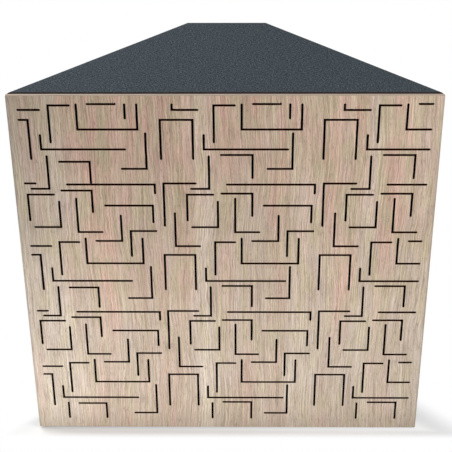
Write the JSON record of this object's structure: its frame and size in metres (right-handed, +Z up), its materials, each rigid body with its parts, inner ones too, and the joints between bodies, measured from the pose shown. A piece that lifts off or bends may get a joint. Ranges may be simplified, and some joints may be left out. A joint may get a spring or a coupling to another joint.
{
  "type": "bass trap",
  "caption": "Free-standing corner bass trap: wedge of absorber in dark cloth behind a slotted oak-veneer front plate.",
  "frame": {"origin": "on the floor under the middle of the bounding box", "axes": "+Z up, slotted front plate facing -Y, narrow back facing +Y, +X along the plate's width"},
  "size_m": [0.61, 0.25, 0.603],
  "materials": {
    "oak_veneer": "pale greyed oak veneer, matt lacquer, grain upright",
    "frame_wood": "softwood and board, stained black",
    "screw_steel": "zinc plated",
    "absorber_wool": "pressed fibre slab",
    "cover_cloth": "slate grey melange cloth",
    "black_cloth": "thin black acoustic cloth",
    "glide_plastic": "moulded, satin"
  },
  "bodies": {
    "root": {"front_plate": "oak_veneer", "backing_cloth": "black_cloth", "top_board": "frame_wood", "bottom_board": "frame_wood", "front_post_left": "frame_wood", "front_post_right": "frame_wood", "rear_post_left": "frame_wood", "rear_post_right": "frame_wood", "middle_rail": "frame_wood", "rail_dowel_left": "frame_wood", "rail_dowel_right": "frame_wood", "absorber_slab_1": "absorber_wool", "absorber_slab_2": "absorber_wool", "absorber_slab_3": "absorber_wool", "absorber_slab_4": "absorber_wool", "cover_top": "cover_cloth", "cover_left": "cover_cloth", "cover_right": "cover_cloth", "cover_back": "cover_cloth", "cover_bottom": "black_cloth", "frame_screw_top_front_left": "screw_steel", "frame_screw_bottom_front_left": "screw_steel", "frame_screw_top_front_right": "screw_steel", "frame_screw_bottom_front_right": "screw_steel", "frame_screw_top_rear_left": "screw_steel", "frame_screw_bottom_rear_left": "screw_steel", "frame_screw_top_rear_right": "screw_steel", "frame_screw_bottom_rear_right": "screw_steel", "glide_front_left": "glide_plastic", "glide_front_right": "glide_plastic", "glide_rear_left": "glide_plastic", "glide_rear_right": "glide_plastic"}
  },
  "joints": []
}
